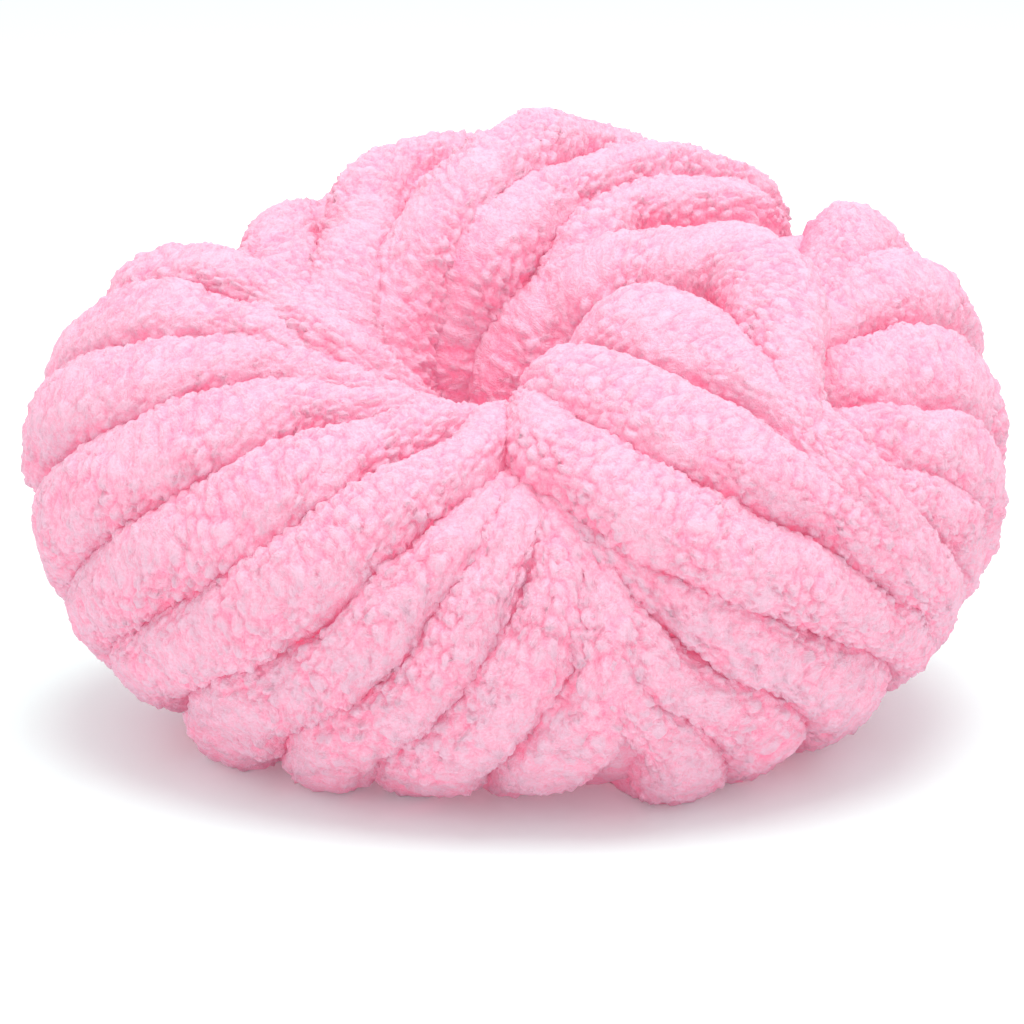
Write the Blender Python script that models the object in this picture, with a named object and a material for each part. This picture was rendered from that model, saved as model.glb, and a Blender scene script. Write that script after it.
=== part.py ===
"""A hand-wound ball of super-chunky chenille yarn, as one solid of its wound form.

The yarn is wound round and round through one pinched eye, so every strand runs over the rim,
down the side, underneath and back to the eye.  The ball is therefore a fat, uneven ring with a
closed middle, lying with its eye tipped to the front.  Its underside is pressed flat on the
table.  The strands lie in bundles that cross one another.

Metres, +Z up, the table is z = 0 and the front of the ball faces -Y.
Azimuth is counted round the eye from +X, anticlockwise seen from above.  Poloidal angle is
counted round the ring's section: 0 at the rim, 90 on top, 180 in the eye, -90 underneath.
"""
import math

import bmesh
import bpy
import numpy as np

MM = 0.001

# ---- named sizes, in millimetres and degrees ---------------------------------------------------
STRAND_RADIUS = 11.0        # a strand lying free, pile included
NARROWEST = 8.0             # half width of a strand squeezed between its neighbours at the eye
WIDEST = 13.0               # half width of a strand with room to spread
SQUEEZE = 1.16              # neighbours overlap this much, so the grooves stay shallow
RING_TIP = 21.0             # how far the eye is tipped to the front
RING_HEIGHT = 70.0          # middle of the ring above the table
RING_SHIFT = (-13.8, -9.5)  # middle of the ring from the middle of the ball's outline
CORE_DEPTH = 13.0           # the filling lies this far under the strands' outer face
PRESSED = 4.0               # how much of a strand's height is pressed away on the table
VOXEL = 2.2                 # grain of the welded solid
FACES_KEPT = 9000           # triangles of the finished solid

# The ring, by azimuth: radius of its middle line, half depth of its section, rise and drop.
RING_COLUMNS = ("azimuth", "radius", "half_depth", "rise", "drop")
RING = (
    (0, 72, 66, 46, 74),
    (45, 64, 71, 47, 86),
    (90, 55, 57, 54, 92),
    (135, 49, 52, 43, 86),
    (180, 52, 59, 51, 69),
    (225, 52, 49, 47, 65),
    (270, 55, 48, 47, 51),
    (315, 65, 55, 47, 55),
)

# Poloidal angles along a strand, from deep in the eye over the top to the rim, then underneath.
# A strand's azimuth is given at the middle seven.  It keeps its first azimuth down into the eye,
# and underneath it keeps leaning the way it leaned at the rim.
STATION_IN_EYE = 178
STATIONS = (145, 115, 90, 65, 40, 10, -25)
STATIONS_UNDER = (-60, -95, -130, -160)
TABLE_FROM = -90            # past this a strand lies on the table

# How far each layer stands off the ring's face at each station, eye to underside.
LAYER_LIFT = {
    "flush": (0, 0, 0, 0, 0, 0, 0, 0, 0, 0, 0),
    "sunk front": (-14, -11, -8, -5, -3, -1, 0, 0, 0, 0, 0),
    "sunk right": (-16, -14, -12, -9, -5, -1, 1, 3, 0, 0, 0),
    "sunk right end": (-16, -14, -12, -9, -5, 0, 3, 5, 0, 0, 0),
    "ribbon": (-7, 3, 3, 3, 3, 2, 1, 0, 0, 0, 0),
    "ribbon back": (-15, -2, 9, 7, 3, -2, -4, -2, 0, 0, 0),
    "fan": (-14, -10, -6, -4, 0, 0, 0, 0, 0, 0, 0),
    "fan back": (-14, -10, -4, 0, 4, 3, 1, 0, 0, 0, 0),
    "arch end": (-10, -1, 1, 0, -6, -8, -6, -3, 0, 0, 0),
    "arch": (-10, -2, 1, 2, 0, 0, 0, 0, 0, 0, 0),
    "between": (-14, -12, -9, -7, -4, -1, 0, 0, 0, 0, 0),
    "deep": (-16, -15, -13, -11, -9, -9, -8, -4, 0, 0, 0),
}
# How much of a strand's own rise counts at each station.
RISE_SHARE = (0.3, 1.0, 0.8, 0.6, 0.4, 0.2, 0, 0, 0, 0, 0)

# One row a strand, in order round the ball: bundle, layer, the strand's own rise, then its
# azimuth at each of the middle seven stations.  The last four lie deeper, under the others.
STRANDS = (
    ("left_fan", "flush", 4, 222, 209, 173, 161, 157, 156, 156),
    ("left_fan", "flush", 0, 232, 216, 189, 177, 171, 168, 164),
    ("left_fan", "flush", 0, 248, 232, 202, 196, 189, 181, 172),
    ("left_fan", "flush", 0, 262, 248, 223, 215, 208, 199, 186),
    ("left_fan", "flush", 0, 278, 267, 250, 237, 228, 216, 200),
    ("left_fan", "flush", 0, 291, 283, 272, 257, 247, 235, 214),
    ("front", "sunk front", 0, 296, 288, 284, 274, 264, 254, 234),
    ("front", "sunk front", 0, 298, 291, 288, 281, 275, 268, 253),
    ("front", "sunk front", 0, 300, 293, 290, 288, 285, 279, 269),
    ("front", "sunk front", 0, 301, 295, 291, 291, 292, 290, 285),
    ("lower_right", "sunk right end", -4, 302, 297, 293, 290, 288, 291, 300),
    ("lower_right", "sunk right", 1, 303, 298, 294, 291, 291, 297, 311),
    ("lower_right", "sunk right", 7, 304, 299, 295, 294, 299, 310, 325),
    ("ribbon", "ribbon", 2, 322, 298, 293, 301, 311, 323, 338),
    ("ribbon", "ribbon", 7, 326, 309, 312, 318, 325, 332, 341),
    ("ribbon", "ribbon", 9, 352, 347, 334, 330, 330, 334, 343),
    ("ribbon", "ribbon back", 4, 400, 394, 367, 330, 327, 331, 343),
    ("right_fan", "fan", 0, 330, 328, 326, 324, 326, 335, 344),
    ("right_fan", "fan", 0, 340, 332, 330, 328, 333, 344, 350),
    ("right_fan", "fan", 0, 350, 336, 332, 335, 345, 353, 357),
    ("right_fan", "fan", 0, 360, 342, 338, 352, 361, 365, 366),
    ("right_fan", "fan back", 0, 370, 350, 347, 368, 377, 380, 380),
    ("right_fan", "fan back", 0, 380, 360, 357, 377, 389, 392, 392),
    ("back_arch", "arch end", 0, 48, 43, 51, 42, 44, 47, 49),
    ("back_arch", "arch", 0, 98, 80, 65, 56, 49, 50, 53),
    ("back_fill", "between", 0, 125, 98, 77, 65, 58, 57, 60),
    ("back_arch", "arch", 2, 150, 111, 84, 75, 66, 62, 64),
    ("back_fill", "between", -2, 178, 135, 104, 92, 80, 74, 75),
    ("back_arch", "arch", -3, 190, 164, 120, 107, 92, 85, 85),
    ("back_fill", "between", -2, 198, 175, 138, 121, 107, 99, 99),
    ("back_arch", "arch", -4, 190, 172, 152, 134, 123, 117, 116),
    ("back_fill", "between", -8, 212, 195, 162, 146, 139, 136, 136),
    ("front_fill", "deep", 0, 338, 330, 325, 325, 328, 333, 342),
    ("back_fill", "deep", 0, 410, 405, 393, 388, 391, 392, 392),
    ("front_fill", "deep", 0, 375, 370, 350, 331, 330, 334, 344),
    ("back_fill", "deep", 0, 301, 296, 292, 290, 289, 291, 295),
)


def ring_size(column, azimuth):
    """One of the ring's sizes at any azimuth, eased from row to row."""
    at = np.array([row[0] for row in RING], float)
    size = np.array([row[RING_COLUMNS.index(column)] for row in RING], float)
    spacing = at[1] - at[0]
    place = np.mod(azimuth, 360.0) / spacing
    first = np.floor(place).astype(int)
    t = place - first
    before, here, after, beyond = (size[(first + k) % len(RING)] for k in (-1, 0, 1, 2))
    slope_here, slope_after = (after - before) / 2, (beyond - here) / 2
    return ((2 * t**3 - 3 * t**2 + 1) * here + (t**3 - 2 * t**2 + t) * slope_here
            + (3 * t**2 - 2 * t**3) * after + (t**3 - t**2) * slope_after)


def ring_point(azimuth, poloidal, lift, closest=3.0):
    """Points on the ring, moved out by lift, in the ball's own frame."""
    azimuth, around = np.asarray(azimuth, float), np.radians(np.asarray(poloidal, float))
    upper = np.sin(around) > 0
    height = np.where(upper, ring_size("rise", azimuth), ring_size("drop", azimuth)) + lift
    reach = ring_size("radius", azimuth) + (ring_size("half_depth", azimuth) + lift) * np.cos(around)
    reach = np.maximum(reach, closest)
    across, along, up = (reach * np.cos(np.radians(azimuth)), reach * np.sin(np.radians(azimuth)),
                         height * np.sin(around))
    tip = math.radians(RING_TIP)
    return np.stack([across + RING_SHIFT[0],
                     along * math.cos(tip) - up * math.sin(tip) + RING_SHIFT[1],
                     along * math.sin(tip) + up * math.cos(tip) + RING_HEIGHT], axis=-1)


def laid_on_table(points, poloidal, height):
    """The same points, with those on the underside brought down to one height."""
    under = np.asarray(poloidal) < TABLE_FROM
    points[under, 2] = height
    return points


def ring_middle(azimuth):
    """Points on the ring's middle line."""
    return ring_point(azimuth, 90.0, -ring_size("rise", azimuth))


def smooth_path(knots, step):
    """A rounded path through the knots, cut into equal steps."""
    knots = np.asarray(knots, float)
    ends = np.vstack([2 * knots[0] - knots[1], knots, 2 * knots[-1] - knots[-2]])
    pieces = []
    for p0, p1, p2, p3 in zip(ends, ends[1:], ends[2:], ends[3:]):
        t1 = math.sqrt(np.linalg.norm(p1 - p0))
        t2 = t1 + math.sqrt(np.linalg.norm(p2 - p1))
        t3 = t2 + math.sqrt(np.linalg.norm(p3 - p2))
        t = np.linspace(t1, t2, 16, endpoint=False)[:, None]
        a1, a2 = p0 + (p1 - p0) * t / t1, p1 + (p2 - p1) * (t - t1) / (t2 - t1)
        a3 = p2 + (p3 - p2) * (t - t2) / (t3 - t2)
        b1, b2 = a1 + (a2 - a1) * t / t2, a2 + (a3 - a2) * (t - t1) / (t3 - t1)
        pieces.append(b1 + (b2 - b1) * (t - t1) / (t2 - t1))
    fine = np.vstack(pieces + [knots[-1:]])
    run = np.concatenate([[0.0], np.cumsum(np.linalg.norm(np.diff(fine, axis=0), axis=1))])
    even = np.linspace(0.0, run[-1], max(2, int(round(run[-1] / step)) + 1))
    return np.stack([np.interp(even, run, fine[:, k]) for k in range(3)], axis=-1)


def strand_paths(step):
    """The middle line of every strand, in table order."""
    paths = []
    stations = (STATION_IN_EYE,) + STATIONS + STATIONS_UNDER
    for _, layer, rise, *azimuths in STRANDS:
        lean = 0.4 * (azimuths[-1] - azimuths[-3])
        under = [azimuths[-1] + lean * k for k in range(1, len(STATIONS_UNDER) + 1)]
        lift = np.array(LAYER_LIFT[layer]) + rise * np.array(RISE_SHARE) - STRAND_RADIUS
        lift = np.insert(lift, 0, lift[0])
        knots = ring_point([azimuths[0]] + azimuths + under, stations, lift)
        paths.append(smooth_path(laid_on_table(knots, stations, STRAND_RADIUS - PRESSED), step))
    return paths


def strand_half_widths(paths):
    """Half width along each strand: half the way to the strands beside it, within limits."""
    widths = []
    for i, path in enumerate(paths):
        gaps = []
        for j in (i - 1, (i + 1) % len(paths)):
            if STRANDS[j][0] == STRANDS[i][0]:
                away = np.linalg.norm(path[:, None, :] - paths[j][None, :, :], axis=2)
                gaps.append(away.min(axis=1))
        if gaps:
            width = np.clip(0.5 * SQUEEZE * np.mean(gaps, axis=0), NARROWEST, WIDEST)
        else:
            width = np.full(len(path), STRAND_RADIUS)
        smooth = np.ones(5) / 5
        widths.append(np.convolve(np.pad(width, 2, mode="edge"), smooth, mode="valid"))
    return widths


def strand_frames(path):
    """Along, outward and sideways directions at each point of a strand."""
    along = np.gradient(path, axis=0)
    along /= np.linalg.norm(along, axis=1, keepdims=True)
    tip = math.radians(RING_TIP)
    flat = path - np.array([RING_SHIFT[0], RING_SHIFT[1], RING_HEIGHT])
    in_ring = flat[:, 1] * math.cos(tip) + flat[:, 2] * math.sin(tip)
    azimuth = np.degrees(np.arctan2(in_ring, flat[:, 0]))
    outward = path - ring_middle(azimuth)
    outward -= np.sum(outward * along, axis=1, keepdims=True) * along
    outward /= np.linalg.norm(outward, axis=1, keepdims=True)
    return along, outward, np.cross(along, outward)


def add_tube(vertices, faces, path, half_width, sides=10):
    """A closed tube round a strand's middle line: wide as its room, high as a free strand."""
    _, outward, sideways = strand_frames(path)
    half_height = STRAND_RADIUS * (0.6 + 0.4 * np.clip(half_width / STRAND_RADIUS, 0, 1))
    start = len(vertices)
    turn = np.linspace(0.0, 2 * math.pi, sides, endpoint=False)
    rings = (path[:, None, :]
             + (half_width[:, None] * np.cos(turn))[:, :, None] * sideways[:, None, :]
             + (half_height[:, None] * np.sin(turn))[:, :, None] * outward[:, None, :])
    vertices.extend(map(tuple, rings.reshape(-1, 3) * MM))
    for i in range(len(path) - 1):
        for k in range(sides):
            a, b = start + i * sides + k, start + i * sides + (k + 1) % sides
            faces.append((a, b, b + sides, a + sides))
    faces.append(tuple(start + k for k in reversed(range(sides))))
    faces.append(tuple(start + (len(path) - 1) * sides + k for k in range(sides)))


def add_filling(vertices, faces, slices=48, steps=40):
    """The closed body under the outer strands, dented at the eye and filled to the table."""
    start = len(vertices)
    poloidal = np.linspace(160.0, -165.0, steps)
    for azimuth in np.arange(slices) * 360.0 / slices:
        points = ring_point(np.full(steps, azimuth), poloidal, -CORE_DEPTH, closest=2.0)
        points = laid_on_table(points, poloidal, -1.0)
        vertices.extend(map(tuple, points * MM))
    for i in range(slices):
        for k in range(steps - 1):
            a, b = start + i * steps + k, start + (i + 1) % slices * steps + k
            faces.append((a, a + 1, b + 1, b))
    faces.append(tuple(start + i * steps for i in range(slices)))
    faces.append(tuple(start + i * steps + steps - 1 for i in reversed(range(slices))))


def baked(obj):
    """A mesh with the object's modifiers worked in."""
    graph = bpy.context.evaluated_depsgraph_get()
    return bpy.data.meshes.new_from_object(obj.evaluated_get(graph))


def pink_chenille():
    """Matt, soft pale pink."""
    material = bpy.data.materials.new("pink_chenille")
    material.use_nodes = True
    shader = next(n for n in material.node_tree.nodes if n.type == "BSDF_PRINCIPLED")
    shader.inputs["Base Color"].default_value = (0.93, 0.48, 0.63, 1.0)
    shader.inputs["Roughness"].default_value = 0.95
    shader.inputs["Sheen Weight"].default_value = 0.4
    material.diffuse_color = (0.93, 0.48, 0.63, 1.0)
    return material


def build_ball():
    vertices, faces = [], []
    paths = strand_paths(step=6.0)
    for path, half_width in zip(paths, strand_half_widths(paths)):
        add_tube(vertices, faces, path, half_width)
    add_filling(vertices, faces)
    mesh = bpy.data.meshes.new("yarn_ball")
    mesh.from_pydata(vertices, [], faces)
    ball = bpy.data.objects.new("yarn_ball", mesh)
    bpy.context.collection.objects.link(ball)

    weld = ball.modifiers.new("weld", "REMESH")
    weld.mode = "VOXEL"
    weld.voxel_size = VOXEL * MM
    ball.data = baked(ball)
    ball.modifiers.clear()
    ease = ball.modifiers.new("ease", "SMOOTH")
    ease.factor, ease.iterations = 0.5, 2
    thin = ball.modifiers.new("thin", "DECIMATE")
    thin.ratio = FACES_KEPT / (2 * len(ball.data.polygons))
    ball.data = baked(ball)
    ball.modifiers.clear()
    ball.data.name = "yarn_ball"

    press_flat(ball.data)
    ball.data.materials.clear()
    ball.data.materials.append(pink_chenille())
    return ball


def press_flat(mesh):
    """Keep the one outer skin and press whatever hangs under the table's height up to it."""
    solid = bmesh.new()
    solid.from_mesh(mesh)
    solid.verts.ensure_lookup_table()
    seen, groups = set(), []
    for vert in solid.verts:
        if vert.index in seen:
            continue
        group, queue = [], [vert]
        seen.add(vert.index)
        while queue:
            here = queue.pop()
            group.append(here)
            for edge in here.link_edges:
                other = edge.other_vert(here)
                if other.index not in seen:
                    seen.add(other.index)
                    queue.append(other)
        groups.append(group)
    outer = max(groups, key=len)
    spare = [v for group in groups if group is not outer for v in group]
    bmesh.ops.delete(solid, geom=spare, context="VERTS")
    for vert in solid.verts:
        vert.co.z = max(vert.co.z, 0.0)
    bmesh.ops.triangulate(solid, faces=solid.faces[:])
    bmesh.ops.recalc_face_normals(solid, faces=solid.faces[:])
    solid.to_mesh(mesh)
    solid.free()


for old in list(bpy.data.objects):
    bpy.data.objects.remove(old, do_unlink=True)
build_ball()
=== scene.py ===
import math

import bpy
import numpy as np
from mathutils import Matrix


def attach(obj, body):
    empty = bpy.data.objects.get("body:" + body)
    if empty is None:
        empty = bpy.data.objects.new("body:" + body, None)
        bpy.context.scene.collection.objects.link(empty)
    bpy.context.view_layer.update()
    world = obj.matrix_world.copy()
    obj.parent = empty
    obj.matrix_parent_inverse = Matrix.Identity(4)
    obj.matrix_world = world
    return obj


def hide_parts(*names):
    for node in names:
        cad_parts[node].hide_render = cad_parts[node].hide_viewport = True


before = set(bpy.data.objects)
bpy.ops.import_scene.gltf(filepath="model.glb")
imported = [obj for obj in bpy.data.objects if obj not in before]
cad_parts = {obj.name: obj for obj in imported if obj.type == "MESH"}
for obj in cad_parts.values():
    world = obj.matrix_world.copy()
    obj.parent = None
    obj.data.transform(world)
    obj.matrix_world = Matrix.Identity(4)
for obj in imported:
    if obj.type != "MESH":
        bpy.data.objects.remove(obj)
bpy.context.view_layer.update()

# A hand-wound ball of super-chunky chenille yarn.
#
# Every strand runs from the pinched eye over the rim, down the side, underneath and back to the
# eye.  The strands' middle lines come from the same small winding tables as the solid, and each
# strand is then given its pile: soft tufts, small curls on them, brushed fibres and a slow swell.
# The finest nap is left to the material.
#
# Azimuth is counted round the eye from +X, anticlockwise seen from above.  Poloidal angle is
# counted round the ring's section: 0 at the rim, 90 on top, 180 in the eye, -90 underneath.

MM = 0.001

# ---- winding: sizes in millimetres and degrees, as in the solid --------------------------------
STRAND_RADIUS = 11.0        # a strand lying free, pile included
NARROWEST = 8.0             # half width of a strand squeezed between its neighbours at the eye
WIDEST = 13.0               # half width of a strand with room to spread
SQUEEZE = 1.16              # neighbours overlap this much, so the grooves stay shallow
RING_TIP = 21.0             # how far the eye is tipped to the front
RING_HEIGHT = 70.0          # middle of the ring above the table
RING_SHIFT = (-13.8, -9.5)  # middle of the ring from the middle of the ball's outline
INNER_DEPTH = 20.0          # the inner turns lie this far under the strands' outer face
PRESSED = 4.0               # how much of a strand's height is pressed away on the table

# The ring, by azimuth: radius of its middle line, half depth of its section, rise and drop.
RING_COLUMNS = ("azimuth", "radius", "half_depth", "rise", "drop")
RING = (
    (0, 72, 66, 46, 74),
    (45, 64, 71, 47, 86),
    (90, 55, 57, 54, 92),
    (135, 49, 52, 43, 86),
    (180, 52, 59, 51, 69),
    (225, 52, 49, 47, 65),
    (270, 55, 48, 47, 51),
    (315, 65, 55, 47, 55),
)

# Poloidal angles along a strand, from deep in the eye over the top to the rim, then underneath.
# A strand's azimuth is given at the middle seven.  It keeps its first azimuth down into the eye,
# and underneath it keeps leaning the way it leaned at the rim.
STATION_IN_EYE = 178
STATIONS = (145, 115, 90, 65, 40, 10, -25)
STATIONS_UNDER = (-60, -95, -130, -160)
TABLE_FROM = -90            # past this a strand lies on the table
LEAN_KEPT = 0.4             # share of the lean at the rim that a strand keeps at each station under

# How far each layer stands off the ring's face at each station, eye to underside.
LAYER_LIFT = {
    "flush": (0, 0, 0, 0, 0, 0, 0, 0, 0, 0, 0),
    "sunk front": (-14, -11, -8, -5, -3, -1, 0, 0, 0, 0, 0),
    "sunk right": (-16, -14, -12, -9, -5, -1, 1, 3, 0, 0, 0),
    "sunk right end": (-16, -14, -12, -9, -5, 0, 3, 5, 0, 0, 0),
    "ribbon": (-7, 3, 3, 3, 3, 2, 1, 0, 0, 0, 0),
    "ribbon back": (-15, -2, 9, 7, 3, -2, -4, -2, 0, 0, 0),
    "fan": (-14, -10, -6, -4, 0, 0, 0, 0, 0, 0, 0),
    "fan back": (-14, -10, -4, 0, 4, 3, 1, 0, 0, 0, 0),
    "arch end": (-10, -1, 1, 0, -6, -8, -6, -3, 0, 0, 0),
    "arch": (-10, -2, 1, 2, 0, 0, 0, 0, 0, 0, 0),
    "between": (-14, -12, -9, -7, -4, -1, 0, 0, 0, 0, 0),
    "deep": (-16, -15, -13, -11, -9, -9, -8, -4, 0, 0, 0),
}
# How much of a strand's own rise counts at each station.
RISE_SHARE = (0.3, 1.0, 0.8, 0.6, 0.4, 0.2, 0, 0, 0, 0, 0)

# One row a strand, in order round the ball: bundle, layer, the strand's own rise, then its
# azimuth at each of the middle seven stations.  The last four lie deeper, under the others.
STRANDS = (
    ("left_fan", "flush", 4, 222, 209, 173, 161, 157, 156, 156),
    ("left_fan", "flush", 0, 232, 216, 189, 177, 171, 168, 164),
    ("left_fan", "flush", 0, 248, 232, 202, 196, 189, 181, 172),
    ("left_fan", "flush", 0, 262, 248, 223, 215, 208, 199, 186),
    ("left_fan", "flush", 0, 278, 267, 250, 237, 228, 216, 200),
    ("left_fan", "flush", 0, 291, 283, 272, 257, 247, 235, 214),
    ("front", "sunk front", 0, 296, 288, 284, 274, 264, 254, 234),
    ("front", "sunk front", 0, 298, 291, 288, 281, 275, 268, 253),
    ("front", "sunk front", 0, 300, 293, 290, 288, 285, 279, 269),
    ("front", "sunk front", 0, 301, 295, 291, 291, 292, 290, 285),
    ("lower_right", "sunk right end", -4, 302, 297, 293, 290, 288, 291, 300),
    ("lower_right", "sunk right", 1, 303, 298, 294, 291, 291, 297, 311),
    ("lower_right", "sunk right", 7, 304, 299, 295, 294, 299, 310, 325),
    ("ribbon", "ribbon", 2, 322, 298, 293, 301, 311, 323, 338),
    ("ribbon", "ribbon", 7, 326, 309, 312, 318, 325, 332, 341),
    ("ribbon", "ribbon", 9, 352, 347, 334, 330, 330, 334, 343),
    ("ribbon", "ribbon back", 4, 400, 394, 367, 330, 327, 331, 343),
    ("right_fan", "fan", 0, 330, 328, 326, 324, 326, 335, 344),
    ("right_fan", "fan", 0, 340, 332, 330, 328, 333, 344, 350),
    ("right_fan", "fan", 0, 350, 336, 332, 335, 345, 353, 357),
    ("right_fan", "fan", 0, 360, 342, 338, 352, 361, 365, 366),
    ("right_fan", "fan back", 0, 370, 350, 347, 368, 377, 380, 380),
    ("right_fan", "fan back", 0, 380, 360, 357, 377, 389, 392, 392),
    ("back_arch", "arch end", 0, 48, 43, 51, 42, 44, 47, 49),
    ("back_arch", "arch", 0, 98, 80, 65, 56, 49, 50, 53),
    ("back_fill", "between", 0, 125, 98, 77, 65, 58, 57, 60),
    ("back_arch", "arch", 2, 150, 111, 84, 75, 66, 62, 64),
    ("back_fill", "between", -2, 178, 135, 104, 92, 80, 74, 75),
    ("back_arch", "arch", -3, 190, 164, 120, 107, 92, 85, 85),
    ("back_fill", "between", -2, 198, 175, 138, 121, 107, 99, 99),
    ("back_arch", "arch", -4, 190, 172, 152, 134, 123, 117, 116),
    ("back_fill", "between", -8, 212, 195, 162, 146, 139, 136, 136),
    ("front_fill", "deep", 0, 338, 330, 325, 325, 328, 333, 342),
    ("back_fill", "deep", 0, 410, 405, 393, 388, 391, 392, 392),
    ("front_fill", "deep", 0, 375, 370, 350, 331, 330, 334, 344),
    ("back_fill", "deep", 0, 301, 296, 292, 290, 289, 291, 295),
)

# ---- pile, in millimetres ----------------------------------------------------------------------
# One row a kind of pile: the tufts' length along and across a strand, their height from crease to
# crown, how much they differ in height, the height of the small curls on them, and the height and
# slant of the brushed fibres.
PILE_COLUMNS = ("along", "across", "tuft", "uneven", "curl", "brushed", "slant")
PILE = {
    "clouds": (3.1, 3.6, 1.4, 0.5, 0.62, 0.12, 0.3),
    "pitted": (3.0, 3.4, 1.6, 0.8, 0.65, 0.12, 0.3),
    "brushed": (3.4, 4.0, 1.3, 0.5, 0.70, 0.50, 0.9),
}
BUNDLE_PILE = {
    "left_fan": "clouds", "front": "brushed", "lower_right": "brushed", "ribbon": "clouds",
    "right_fan": "clouds", "back_arch": "pitted", "back_fill": "pitted", "front_fill": "clouds",
}
TUFT_SINK, CURL_SINK = 0.7, 0.6      # how far down tufts and curls are set, so a strand stays its size
TUFT_WANDER = (0.28, 0.30)           # how far a tuft sits off its place, in tuft lengths and widths
TUFT_REACH, TUFT_FULLNESS = 0.92, 0.75  # a tuft's radius in its cell; under 1, it is plumper
CREASE_WIDTH, CREASE_DEPTH = 0.55, 0.55  # of the creases between tufts, as shares of a tuft
BEND_SIZE, BEND_HEIGHT = 2.7, 1.1    # how the rows of tufts wander
CURL_LENGTH, CURL_WIDTH, CURL_UNEVEN = 1.9, 2.0, 0.4
MATTED_SIZE = 8.0                    # patches where the tufts stand higher or lie flatter
MATTED_MEAN, MATTED_CHANGE = 0.85, 0.8
MATTED_LEAST, MATTED_MOST = 0.45, 1.15
FIBRE_WIDTH, FIBRE_LENGTH = 1.2, 6.0
SWELL_SIZE, SWELL_HEIGHT = 13.0, 1.1  # slow swelling and thinning of a strand
LUMP_SIZE, LUMP_SHARE = 6.0, 0.5     # smaller lumps on the slow swell
EDGE_GAIN = 0.40                     # how much higher the tufts stand along a strand's edges
SQUARENESS = 0.80                    # under 1, a strand's section is a little squarer than round
LEAST_THICKNESS = 0.6                # share of its thickness that a pinched strand keeps
# How deep a spot counts in the pile; the material paints that depth as shade and glow.
CURL_HOLLOWS, UNEVEN_HOLLOWS = 0.3, 0.25  # how much curls and low tufts count as deep in the pile
TUFT_DEPTH, GROOVE_DEPTH = 0.8, 0.7  # how much tufts, and the grooves between strands, count
GROOVE_FROM, GROOVE_FADE = 0.55, 1.5  # where on a strand's side the groove begins, and how it fades
INNER_TURNS_DEPTH = 0.9              # the inner turns lie almost as deep as can be
OUTER_SIDE = (-12, 192)              # the finely meshed side, in degrees round the strand
TABLE_SKIN = 0.15                    # the pile's lowest point above the table

CLOSE_RINGS, WIDE_RINGS = 0.75, 3.0  # spacing of the mesh where it shows and where it is hidden
OUTER_POINTS, INNER_POINTS = 46, 8   # points round a strand's outer and inner side
FILL_RINGS, FILL_POINTS = 1.6, 24    # the same for the strands lying between the others
SHOWN_FROM, SHOWN_TO = 0.02, 0.66    # share of a strand's length that shows
HIDDEN_FROM = 0.72                   # from here on it lies underneath


def ring_size(column, azimuth):
    """One of the ring's sizes at any azimuth, eased from row to row."""
    at = np.array([row[0] for row in RING], float)
    size = np.array([row[RING_COLUMNS.index(column)] for row in RING], float)
    spacing = at[1] - at[0]
    place = np.mod(azimuth, 360.0) / spacing
    first = np.floor(place).astype(int)
    t = place - first
    before, here, after, beyond = (size[(first + k) % len(RING)] for k in (-1, 0, 1, 2))
    slope_here, slope_after = (after - before) / 2, (beyond - here) / 2
    return ((2 * t**3 - 3 * t**2 + 1) * here + (t**3 - 2 * t**2 + t) * slope_here
            + (3 * t**2 - 2 * t**3) * after + (t**3 - t**2) * slope_after)


def ring_point(azimuth, poloidal, lift, closest=3.0):
    """Points on the ring, moved out by lift, in the ball's own frame."""
    azimuth, around = np.asarray(azimuth, float), np.radians(np.asarray(poloidal, float))
    upper = np.sin(around) > 0
    height = np.where(upper, ring_size("rise", azimuth), ring_size("drop", azimuth)) + lift
    reach = ring_size("radius", azimuth) + (ring_size("half_depth", azimuth) + lift) * np.cos(around)
    reach = np.maximum(reach, closest)
    across, along, up = (reach * np.cos(np.radians(azimuth)), reach * np.sin(np.radians(azimuth)),
                         height * np.sin(around))
    tip = math.radians(RING_TIP)
    return np.stack([across + RING_SHIFT[0],
                     along * math.cos(tip) - up * math.sin(tip) + RING_SHIFT[1],
                     along * math.sin(tip) + up * math.cos(tip) + RING_HEIGHT], axis=-1)


def laid_on_table(points, poloidal, height):
    """The same points, with those on the underside brought down to one height."""
    under = np.asarray(poloidal) < TABLE_FROM
    points[under, 2] = height
    return points


def ring_middle(azimuth):
    """Points on the ring's middle line."""
    return ring_point(azimuth, 90.0, -ring_size("rise", azimuth))


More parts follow.
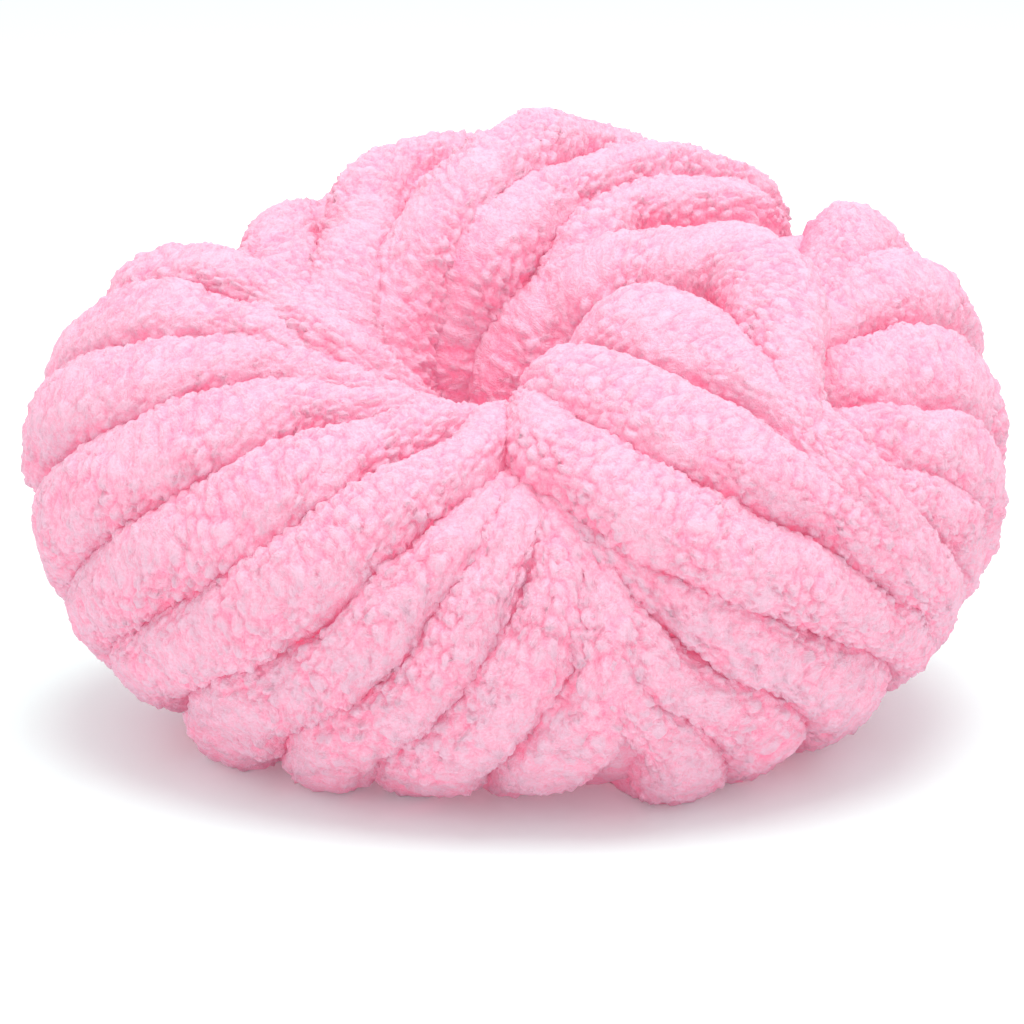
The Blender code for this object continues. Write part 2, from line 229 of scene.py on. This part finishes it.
def smooth_path(knots, step, cuts=16):
    """A rounded path through the knots, worked out in fine cuts and then cut into equal steps."""
    knots = np.asarray(knots, float)
    ends = np.vstack([2 * knots[0] - knots[1], knots, 2 * knots[-1] - knots[-2]])
    stretches = []
    for p0, p1, p2, p3 in zip(ends, ends[1:], ends[2:], ends[3:]):
        t1 = math.sqrt(np.linalg.norm(p1 - p0))
        t2 = t1 + math.sqrt(np.linalg.norm(p2 - p1))
        t3 = t2 + math.sqrt(np.linalg.norm(p3 - p2))
        t = np.linspace(t1, t2, cuts, endpoint=False)[:, None]
        a1, a2 = p0 + (p1 - p0) * t / t1, p1 + (p2 - p1) * (t - t1) / (t2 - t1)
        a3 = p2 + (p3 - p2) * (t - t2) / (t3 - t2)
        b1, b2 = a1 + (a2 - a1) * t / t2, a2 + (a3 - a2) * (t - t1) / (t3 - t1)
        stretches.append(b1 + (b2 - b1) * (t - t1) / (t2 - t1))
    fine = np.vstack(stretches + [knots[-1:]])
    run = np.concatenate([[0.0], np.cumsum(np.linalg.norm(np.diff(fine, axis=0), axis=1))])
    even = np.linspace(0.0, run[-1], max(2, int(round(run[-1] / step)) + 1))
    return np.stack([np.interp(even, run, fine[:, k]) for k in range(3)], axis=-1)


def strand_paths(step):
    """The middle line of every strand, in table order."""
    paths = []
    stations = (STATION_IN_EYE,) + STATIONS + STATIONS_UNDER
    for _, layer, rise, *azimuths in STRANDS:
        lean = LEAN_KEPT * (azimuths[-1] - azimuths[-3])
        under = [azimuths[-1] + lean * k for k in range(1, len(STATIONS_UNDER) + 1)]
        lift = np.array(LAYER_LIFT[layer]) + rise * np.array(RISE_SHARE) - STRAND_RADIUS
        lift = np.insert(lift, 0, lift[0])
        knots = ring_point([azimuths[0]] + azimuths + under, stations, lift)
        paths.append(smooth_path(laid_on_table(knots, stations, STRAND_RADIUS - PRESSED), step))
    return paths


def strand_half_widths(paths, eased_over=9):
    """Half width along each strand: half the way to the strands beside it, within limits."""
    widths = []
    smooth = np.ones(eased_over) / eased_over
    for i, path in enumerate(paths):
        gaps = []
        for j in (i - 1, (i + 1) % len(paths)):
            if STRANDS[j][0] == STRANDS[i][0]:
                away = np.linalg.norm(path[:, None, :] - paths[j][None, :, :], axis=2)
                gaps.append(away.min(axis=1))
        if gaps:
            width = np.clip(0.5 * SQUEEZE * np.mean(gaps, axis=0), NARROWEST, WIDEST)
        else:
            width = np.full(len(path), STRAND_RADIUS)
        widths.append(np.convolve(np.pad(width, eased_over // 2, mode="edge"), smooth, mode="valid"))
    return widths


def strand_frames(path):
    """Along, outward and sideways directions at each point of a strand."""
    along = np.gradient(path, axis=0)
    along /= np.linalg.norm(along, axis=1, keepdims=True)
    tip = math.radians(RING_TIP)
    flat = path - np.array([RING_SHIFT[0], RING_SHIFT[1], RING_HEIGHT])
    in_ring = flat[:, 1] * math.cos(tip) + flat[:, 2] * math.sin(tip)
    azimuth = np.degrees(np.arctan2(in_ring, flat[:, 0]))
    outward = path - ring_middle(azimuth)
    outward -= np.sum(outward * along, axis=1, keepdims=True) * along
    outward /= np.linalg.norm(outward, axis=1, keepdims=True)
    return along, outward, np.cross(along, outward)


# ---- pile patterns -----------------------------------------------------------------------------
def hashed(column, row, seed):
    """A steady pseudo-random number from 0 to 1 for each cell of a grid.

    Large odd factors scatter the cell's numbers, and shifts fold the high bits over the low.
    """
    mixed = (column.astype(np.int64) * 73856093) ^ (row.astype(np.int64) * 19349663) ^ (seed * 83492791)
    mixed = (mixed ^ (mixed >> 13)) * 1274126177
    return ((mixed ^ (mixed >> 16)) & 0xFFFFFF) / float(0x1000000)


def slow_noise(u, v, seed):
    """Smooth noise from -1 to 1 over a plane."""
    column, row = np.floor(u), np.floor(v)
    fu, fv = u - column, v - row
    fu, fv = fu * fu * (3 - 2 * fu), fv * fv * (3 - 2 * fv)
    corner = [hashed(column + i, row + j, seed) for j in (0, 1) for i in (0, 1)]
    low = corner[0] + (corner[1] - corner[0]) * fu
    high = corner[2] + (corner[3] - corner[2]) * fu
    return 2 * (low + (high - low) * fv) - 1


def tufts(u, v, seed):
    """Round-topped cells: 1 at a tuft's crown, 0 in the creases; and each tuft's own number."""
    column, row = np.floor(u), np.floor(v)
    nearest, second = np.full(u.shape, np.inf), np.full(u.shape, np.inf)
    own = np.zeros(u.shape)
    for i in (-1, 0, 1):
        for j in (-1, 0, 1, 2):
            c, r = column + i, row + j
            x = c + 0.5 + TUFT_WANDER[0] * (2 * hashed(c, r, seed) - 1)
            y = r + 0.5 * (c % 2) + TUFT_WANDER[1] * (2 * hashed(c, r, seed + 7) - 1)
            away = np.hypot(u - x, v - y)
            closer = away < nearest
            second = np.where(closer, nearest, np.minimum(second, away))
            own = np.where(closer, 2 * hashed(c, r, seed + 13) - 1, own)
            nearest = np.where(closer, away, nearest)
    crease = np.clip((second - nearest) / CREASE_WIDTH, 0.0, 1.0)
    crease = crease * (2.0 - crease)
    dome = np.clip(1.0 - (nearest / TUFT_REACH) ** 2, 0.0, 1.0) ** TUFT_FULLNESS
    return dome * (1.0 - CREASE_DEPTH + CREASE_DEPTH * crease), own * crease


def pile_height(along, across, turned, kind, seed):
    """Height of the pile over a strand, how deep each spot lies in it, and the fibres' lie."""
    sizes = dict(zip(PILE_COLUMNS, PILE[kind]))
    bend = BEND_HEIGHT * slow_noise(along / BEND_SIZE, across / BEND_SIZE, seed + 1)
    sway = BEND_HEIGHT * slow_noise(along / BEND_SIZE, across / BEND_SIZE, seed + 2)
    crown, own = tufts((along + bend) / sizes["along"], (across + sway) / sizes["across"], seed + 3)
    curls, curl_own = tufts((along - sway) / CURL_LENGTH, (across + bend) / CURL_WIDTH, seed + 4)
    patches = slow_noise(along / MATTED_SIZE, across / MATTED_SIZE, seed + 5)
    matted = np.clip(MATTED_MEAN + MATTED_CHANGE * patches, MATTED_LEAST, MATTED_MOST)
    from_crown = np.abs(across - STRAND_RADIUS * math.pi / 2)
    brushed_along = along - sizes["slant"] * from_crown + 2.0 * bend
    fibres = slow_noise(brushed_along / FIBRE_WIDTH, across / FIBRE_LENGTH, seed + 6)
    swell = (slow_noise(along / SWELL_SIZE, across / SWELL_SIZE, seed + 7)
             + LUMP_SHARE * slow_noise(along / LUMP_SIZE, across / LUMP_SIZE, seed + 8))
    edge = 1.0 + EDGE_GAIN * np.abs(np.cos(turned))
    height = (edge * matted * (sizes["tuft"] * (crown - TUFT_SINK) + 0.5 * sizes["uneven"] * own)
              + sizes["curl"] * (curls - CURL_SINK + CURL_UNEVEN * curl_own)
              + sizes["brushed"] * fibres + SWELL_HEIGHT * swell)
    # Depth in the pile, which the material paints as shade and glow.
    depth = matted * (1.0 - crown - UNEVEN_HOLLOWS * own) + CURL_HOLLOWS * (1.0 - curls)
    return height, depth, brushed_along


def mesh_spacing(path, fill):
    """Where the mesh's rings lie along a strand: close where it shows, wide where it is hidden."""
    run = np.concatenate([[0.0], np.cumsum(np.linalg.norm(np.diff(path, axis=0), axis=1))])
    close = FILL_RINGS if fill else CLOSE_RINGS
    step = np.interp(run / run[-1], (0.0, SHOWN_FROM, SHOWN_TO, HIDDEN_FROM),
                     (WIDE_RINGS, close, close, WIDE_RINGS))
    count = np.concatenate([[0.0], np.cumsum(np.diff(run) / step[1:])])
    return np.interp(np.linspace(0, count[-1], int(count[-1]) + 1), count, run), run


def strand_mesh(path, half_width, bundle, seed):
    """One strand's points, faces, and the depth and fibre place of each point."""
    fill = bundle.endswith("_fill")
    spots, run = mesh_spacing(path, fill)
    _, outward, sideways = strand_frames(path)
    outward = np.stack([np.interp(spots, run, outward[:, k]) for k in range(3)], -1)
    sideways = np.stack([np.interp(spots, run, sideways[:, k]) for k in range(3)], -1)
    middle = np.stack([np.interp(spots, run, path[:, k]) for k in range(3)], -1)
    width = np.interp(spots, run, half_width)
    thickness = LEAST_THICKNESS + (1.0 - LEAST_THICKNESS) * np.clip(width / STRAND_RADIUS, 0, 1)
    height = STRAND_RADIUS * thickness

    outer_points = FILL_POINTS if fill else OUTER_POINTS
    start, end = OUTER_SIDE
    turn = np.radians(np.concatenate([np.linspace(start, end, outer_points, endpoint=False),
                                      np.linspace(end, start + 360, INNER_POINTS, endpoint=False)]))
    along, t = np.meshgrid(spots, turn, indexing="ij")
    across = t * STRAND_RADIUS
    grow, depth, brushed_along = pile_height(along, across, t, BUNDLE_PILE[bundle], seed)
    cosine, sine = np.cos(t), np.sin(t)
    x = np.sign(cosine) * np.abs(cosine) ** SQUARENESS * width[:, None]
    y = np.sign(sine) * np.abs(sine) ** SQUARENESS * height[:, None]
    slope_x, slope_y = cosine / width[:, None], sine / height[:, None]
    slope = np.hypot(slope_x, slope_y)
    x, y = x + grow * slope_x / slope, y + grow * slope_y / slope
    points = middle[:, None, :] + x[..., None] * sideways[:, None, :] + y[..., None] * outward[:, None, :]
    points[..., 2] = np.maximum(points[..., 2], TABLE_SKIN)

    rings, sides = along.shape
    index = np.arange(rings * sides).reshape(rings, sides)
    a, b = index[:-1], index[1:]
    quads = np.stack([a, np.roll(a, -1, 1), np.roll(b, -1, 1), b], -1).reshape(-1, 4)
    # Painted shade: the depth mask grows on the strand's inner side, in the grooves between strands where
    # shade falls.
    groove = np.clip(GROOVE_FROM - sine, 0, 1) ** GROOVE_FADE
    depth = np.clip(TUFT_DEPTH * depth + GROOVE_DEPTH * groove, 0, 1)
    fibre_place = np.stack([brushed_along, across, np.full(along.shape, float(seed))], -1)
    return points.reshape(-1, 3) * MM, quads, depth.reshape(-1), fibre_place.reshape(-1, 3), (rings, sides)


def join_strands(name, strands, map_margin=0.02):
    """One piece of several strands, each closed at both ends, each with its own band of the map."""
    points, quads, depths, places, caps, maps = [], [], [], [], [], []
    base = 0
    for number, (p, q, depth, place, (rings, sides)) in enumerate(strands):
        points.append(p)
        quads.append(q + base)
        depths.append(depth)
        places.append(place)
        caps.append([base + k for k in reversed(range(sides))])
        caps.append([base + (rings - 1) * sides + k for k in range(sides)])
        low, high = ((number + edge) / len(strands) for edge in (map_margin, 1.0 - map_margin))
        i, k = np.meshgrid(np.arange(rings - 1), np.arange(sides), indexing="ij")
        u0, u1 = (i / (rings - 1)).ravel(), ((i + 1) / (rings - 1)).ravel()
        v0, v1 = ((low + (high - low) * (k + step) / sides).ravel() for step in (0, 1))
        maps.append(np.stack([u0, v0, u0, v1, u1, v1, u1, v0], -1).reshape(-1, 2))
        base += len(p)
    points, quads, flat = np.vstack(points), np.vstack(quads), np.vstack(maps)
    loops = np.concatenate([quads.ravel()] + [np.array(c) for c in caps])
    totals = np.concatenate([np.full(len(quads), 4), [len(c) for c in caps]])
    mesh = bpy.data.meshes.new(name)
    mesh.vertices.add(len(points))
    mesh.vertices.foreach_set("co", points.astype(np.float32).ravel())
    mesh.loops.add(len(loops))
    mesh.loops.foreach_set("vertex_index", loops.astype(np.int32))
    mesh.polygons.add(len(totals))
    mesh.polygons.foreach_set("loop_start", np.concatenate([[0], np.cumsum(totals)[:-1]]).astype(np.int32))
    mesh.update(calc_edges=True)
    mesh.validate()
    mesh.polygons.foreach_set("use_smooth", np.ones(len(mesh.polygons), bool))
    layer = mesh.uv_layers.new(name="OFBake")
    uv = np.zeros((len(mesh.loops), 2), np.float32)
    uv[:len(flat)] = flat
    layer.uv.foreach_set("vector", uv.ravel())
    # The depth in the pile, kept for the painted shade and glow.
    in_pile = mesh.attributes.new("pile_shade_depth", "FLOAT", "POINT")
    in_pile.data.foreach_set("value", np.concatenate(depths).astype(np.float32))
    lie = mesh.attributes.new("fibre_place", "FLOAT_VECTOR", "POINT")
    lie.data.foreach_set("vector", np.vstack(places).astype(np.float32).ravel())
    piece = bpy.data.objects.new(name, mesh)
    bpy.context.scene.collection.objects.link(piece)
    return piece


# ---- materials ---------------------------------------------------------------------------------
# The pink pile: its tips' colour, a deeper pink painted as shade deep between the tufts and strands, and a
# painted glow that lightens that shade.
PILE_LOOK = {
    "Tip Colour": (0.87, 0.515, 0.65, 1),
    # Deep pink painted as shade deep in the pile and between strands.
    "Root Shade Colour": (0.86, 0.165, 0.295, 1),
    # Painted glow: pink emission that lightens the pile's shade, strongest deep in it, though the yarn is
    # no lamp.
    "Glow Colour": (1.0, 0.24, 0.41, 1),
    "Glow": 0.38,
    # How strongly the depth paints in the deep pink of shade.
    "Shade Strength": 0.85,
    # Mottling: partly random tone, partly painted shade in the hollows of the nap's relief.
    "Mottle And Hollow Shade": 1.3,
    "Fibre Scale": 2.2,
    "Nap Scale": 1200.0,
}
NAP_BUMP, NAP_HEIGHT = 0.65, 0.0013    # strength, and height in metres
PILE_SPECULAR = 0.1
SHEEN, SHEEN_ROUGHNESS, SHEEN_TINT = 0.08, 0.5, (1.0, 0.74, 0.84, 1)

FIBRE_STRETCH = (1.0, 0.22, 1.0)     # fibres are drawn out across the strand
CLOUD_SCALE = 130.0                  # slow changes of colour, a few to a strand's width
FIBRE_TONE, CLOUD_TONE = 0.4, 0.3    # their share in the mottling, against the nap's 1
MEAN_TONE = 0.83                     # the level of nap, fibres and clouds that leaves the colour alone
SURFACE_GLOW = 0.16                  # share of the painted glow that the tips get, against the full glow deep in the pile
NAP_GLOSS = 0.15                     # how much the nap takes off the roughness
FIBRE_RELIEF, NAP_RELIEF = 0.6, 0.7
COLOUR_A, COLOUR_B, COLOUR_OUT = 6, 7, 2  # a Mix node's colour sockets

TABLE_COLOUR, TABLE_GLOW = (0.80, 0.955, 0.92, 1), 0.08


def new_material(name):
    material = bpy.data.materials.new(name)
    material.use_nodes = True
    nodes = material.node_tree.nodes
    nodes.clear()
    shader, output = nodes.new("ShaderNodeBsdfPrincipled"), nodes.new("ShaderNodeOutputMaterial")
    material.node_tree.links.new(shader.outputs["BSDF"], output.inputs["Surface"])
    return material, nodes, material.node_tree.links, shader


def pile_group():
    """Pile colour with painted shade deep in the pile, a painted glow, roughness and nap height, from the
    depth in the pile and the fibres' lie.
    """
    group = bpy.data.node_groups.new("chenille_pile", "ShaderNodeTree")
    socket = group.interface.new_socket
    for name, value in PILE_LOOK.items():
        kind = "NodeSocketColor" if isinstance(value, tuple) else "NodeSocketFloat"
        socket(name=name, in_out="INPUT", socket_type=kind).default_value = value
    socket(name="Colour", in_out="OUTPUT", socket_type="NodeSocketColor")
    socket(name="Painted Glow", in_out="OUTPUT", socket_type="NodeSocketColor")
    socket(name="Roughness", in_out="OUTPUT", socket_type="NodeSocketFloat")
    socket(name="Height", in_out="OUTPUT", socket_type="NodeSocketFloat")
    nodes, links = group.nodes, group.links
    given, out = nodes.new("NodeGroupInput"), nodes.new("NodeGroupOutput")
    place = nodes.new("ShaderNodeTexCoord")
    depth, lie = nodes.new("ShaderNodeAttribute"), nodes.new("ShaderNodeAttribute")
    depth.attribute_name, lie.attribute_name = "pile_shade_depth", "fibre_place"

    def noise(vector, scale, detail, roughness):
        node = nodes.new("ShaderNodeTexNoise")
        node.inputs["Detail"].default_value = detail
        node.inputs["Roughness"].default_value = roughness
        links.new(vector, node.inputs["Vector"])
        if isinstance(scale, float):
            node.inputs["Scale"].default_value = scale
        else:
            links.new(scale, node.inputs["Scale"])
        return node.outputs[0]

    def maths(operation, a, b):
        node = nodes.new("ShaderNodeMath")
        node.operation = operation
        for socket_in, value in zip(node.inputs, (a, b)):
            if isinstance(value, float):
                socket_in.default_value = value
            else:
                links.new(value, socket_in)
        return node.outputs[0]

    stretch = nodes.new("ShaderNodeMapping")
    stretch.inputs["Scale"].default_value = FIBRE_STRETCH
    links.new(lie.outputs["Vector"], stretch.inputs["Vector"])
    fibres = noise(stretch.outputs["Vector"], given.outputs["Fibre Scale"], detail=3.0, roughness=0.6)
    nap = noise(place.outputs["Object"], given.outputs["Nap Scale"], detail=3.0, roughness=0.65)
    cloud = noise(place.outputs["Object"], CLOUD_SCALE, detail=2.0, roughness=0.5)

    # Where nap, fibres and clouds lie low, the mottling is positive and brings the root colour: random
    # tone from the clouds, and painted shade in the hollows of the nap and fibres' relief.
    fine = maths("ADD", nap, maths("MULTIPLY", fibres, FIBRE_TONE))
    tone_and_hollow_shade = maths("SUBTRACT", MEAN_TONE, maths("ADD", fine, maths("MULTIPLY", cloud, CLOUD_TONE)))
    # Painted shade: the deeper a spot lies in the pile, the more of the deep pink root colour.
    shaded = maths("ADD", maths("MULTIPLY", depth.outputs["Fac"], given.outputs["Shade Strength"]),
                   maths("MULTIPLY", tone_and_hollow_shade, given.outputs["Mottle And Hollow Shade"]))
    mix = nodes.new("ShaderNodeMix")
    mix.data_type = "RGBA"
    mix.clamp_factor = True
    links.new(shaded, mix.inputs[0])
    links.new(given.outputs["Tip Colour"], mix.inputs[COLOUR_A])
    links.new(given.outputs["Root Shade Colour"], mix.inputs[COLOUR_B])
    links.new(mix.outputs[COLOUR_OUT], out.inputs["Colour"])
    # Painted glow: pink light given off by the pile, most deep in it.
    inner = nodes.new("ShaderNodeMix")
    inner.data_type = "RGBA"
    inner.inputs[COLOUR_A].default_value = (0, 0, 0, 1)
    reach = maths("ADD", maths("MULTIPLY", depth.outputs["Fac"], 1.0 - SURFACE_GLOW), SURFACE_GLOW)
    links.new(maths("MULTIPLY", reach, given.outputs["Glow"]), inner.inputs[0])
    links.new(given.outputs["Glow Colour"], inner.inputs[COLOUR_B])
    links.new(inner.outputs[COLOUR_OUT], out.inputs["Painted Glow"])
    links.new(maths("SUBTRACT", 1.0, maths("MULTIPLY", nap, NAP_GLOSS)), out.inputs["Roughness"])
    relief = maths("ADD", maths("MULTIPLY", fibres, FIBRE_RELIEF), maths("MULTIPLY", nap, NAP_RELIEF))
    links.new(relief, out.inputs["Height"])
    return group


def chenille_material(group):
    material, nodes, links, shader = new_material("pink_chenille_pile")
    pile = nodes.new("ShaderNodeGroup")
    pile.node_tree = group
    for name, value in PILE_LOOK.items():
        pile.inputs[name].default_value = value
    bump = nodes.new("ShaderNodeBump")
    bump.inputs["Strength"].default_value = NAP_BUMP
    bump.inputs["Distance"].default_value = NAP_HEIGHT
    links.new(pile.outputs["Height"], bump.inputs["Height"])
    links.new(bump.outputs["Normal"], shader.inputs["Normal"])
    links.new(pile.outputs["Colour"], shader.inputs["Base Color"])
    links.new(pile.outputs["Roughness"], shader.inputs["Roughness"])
    # The painted glow goes to the emission.
    links.new(pile.outputs["Painted Glow"], shader.inputs["Emission Color"])
    shader.inputs["Emission Strength"].default_value = 1.0
    shader.inputs["Specular IOR Level"].default_value = PILE_SPECULAR
    shader.inputs["Sheen Weight"].default_value = SHEEN
    shader.inputs["Sheen Roughness"].default_value = SHEEN_ROUGHNESS
    shader.inputs["Sheen Tint"].default_value = SHEEN_TINT
    return material


# ---- pieces ------------------------------------------------------------------------------------
PATH_STEP = 1.5                      # along a strand's middle line
FIRST_SEED, SEED_STEP = 101, 17      # every strand has its own pile
INNER_FROM, INNER_TO = 176.0, -165.0  # poloidal range of the inner turns, eye to underside
INNER_UNDERSIDE = 1.0                # height of their underside above the table


def build_strands():
    paths = strand_paths(step=PATH_STEP)
    widths = strand_half_widths(paths)
    bundles = {}
    for number, (row, path, width) in enumerate(zip(STRANDS, paths, widths)):
        seed = FIRST_SEED + SEED_STEP * number
        bundles.setdefault(row[0], []).append(strand_mesh(path, width, row[0], seed))
    return [join_strands(bundle + "_strands", strands) for bundle, strands in bundles.items()]


def build_inner_turns(slices=72, steps=60):
    """The rounded inside of the ball, seen only between strands."""
    poloidal = np.linspace(INNER_FROM, INNER_TO, steps)
    points = []
    for azimuth in np.arange(slices) * 360.0 / slices:
        column = ring_point(np.full(steps, azimuth), poloidal, -INNER_DEPTH, closest=2.0)
        points.append(laid_on_table(column, poloidal, INNER_UNDERSIDE))
    points = np.vstack(points)
    faces = []
    for i in range(slices):
        for k in range(steps - 1):
            a, b = i * steps + k, (i + 1) % slices * steps + k
            faces.append((a, a + 1, b + 1, b))
    faces.append(tuple(i * steps for i in range(slices)))
    faces.append(tuple(i * steps + steps - 1 for i in reversed(range(slices))))
    mesh = bpy.data.meshes.new("inner_turns")
    mesh.from_pydata([tuple(p) for p in points * MM], [], faces)
    mesh.polygons.foreach_set("use_smooth", np.ones(len(mesh.polygons), bool))
    # The inner turns get the painted shade and glow almost to the full.
    in_pile = mesh.attributes.new("pile_shade_depth", "FLOAT", "POINT")
    in_pile.data.foreach_set("value", np.full(len(mesh.vertices), INNER_TURNS_DEPTH, np.float32))
    piece = bpy.data.objects.new("inner_turns", mesh)
    bpy.context.scene.collection.objects.link(piece)
    return piece


# ---- studio ------------------------------------------------------------------------------------
CAMERA_RISE = 16.0          # degrees above the table
CAMERA_AWAY = 1000.0        # millimetres from the spot it looks at
CAMERA_LENS, CAMERA_SENSOR = 139.2, 36.0
CAMERA_AIM = (-1.2, -13.3, 56.6)
TABLE_SIZE = 8.0            # metres, as are the lamp's places
SOFTBOX_SPOT, SOFTBOX_AIM = (0.1, -0.1, 1.3), (0, 0, 0.05)
SOFTBOX_SIZE, SOFTBOX_POWER = 1.0, 11.0
SKY_STRENGTH = 0.95


def place_camera():
    lens = bpy.data.cameras.new("camera")
    lens.lens, lens.sensor_width = CAMERA_LENS, CAMERA_SENSOR
    camera = bpy.data.objects.new("camera", lens)
    bpy.context.scene.collection.objects.link(camera)
    rise = math.radians(CAMERA_RISE)
    aim = np.array(CAMERA_AIM)
    spot = aim + CAMERA_AWAY * np.array([0.0, -math.cos(rise), math.sin(rise)])
    camera.location = tuple(spot * MM)
    camera.rotation_euler = (math.radians(90.0) - rise, 0.0, 0.0)
    bpy.context.scene.camera = camera


def place_light(name, spot, aim, size, power):
    lamp = bpy.data.lights.new(name, "AREA")
    lamp.shape, lamp.size, lamp.energy = "DISK", size, power
    light = bpy.data.objects.new(name, lamp)
    bpy.context.scene.collection.objects.link(light)
    light.location = spot
    direction = np.array(aim) - np.array(spot)
    flat = math.hypot(direction[0], direction[1])
    light.rotation_euler = (math.atan2(flat, -direction[2]), 0.0,
                            math.atan2(direction[1], direction[0]) - math.pi / 2)


def build_studio():
    bpy.ops.mesh.primitive_plane_add(size=TABLE_SIZE, location=(0, 0, 0))
    floor = bpy.context.object
    floor.name = "floor"
    material, _, _, shader = new_material("white_table")
    shader.inputs["Base Color"].default_value = TABLE_COLOUR
    shader.inputs["Emission Color"].default_value = (1, 1, 1, 1)
    shader.inputs["Emission Strength"].default_value = TABLE_GLOW
    shader.inputs["Roughness"].default_value = 1.0
    shader.inputs["Specular IOR Level"].default_value = 0.0
    floor.data.materials.append(material)
    world = bpy.data.worlds.new("soft_white")
    world.use_nodes = True
    sky = next(n for n in world.node_tree.nodes if n.type == "BACKGROUND")
    sky.inputs["Color"].default_value = (1.0, 1.0, 1.0, 1)
    sky.inputs["Strength"].default_value = SKY_STRENGTH
    bpy.context.scene.world = world
    place_light("overhead_softbox", SOFTBOX_SPOT, SOFTBOX_AIM, SOFTBOX_SIZE, SOFTBOX_POWER)
    bpy.context.scene.view_settings.view_transform = "Standard"


pile = chenille_material(pile_group())
pieces = build_strands() + [build_inner_turns()]
for piece in pieces:
    piece.data.materials.append(pile)
    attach(piece, "root")
    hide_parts("yarn_ball")
place_camera()
build_studio()
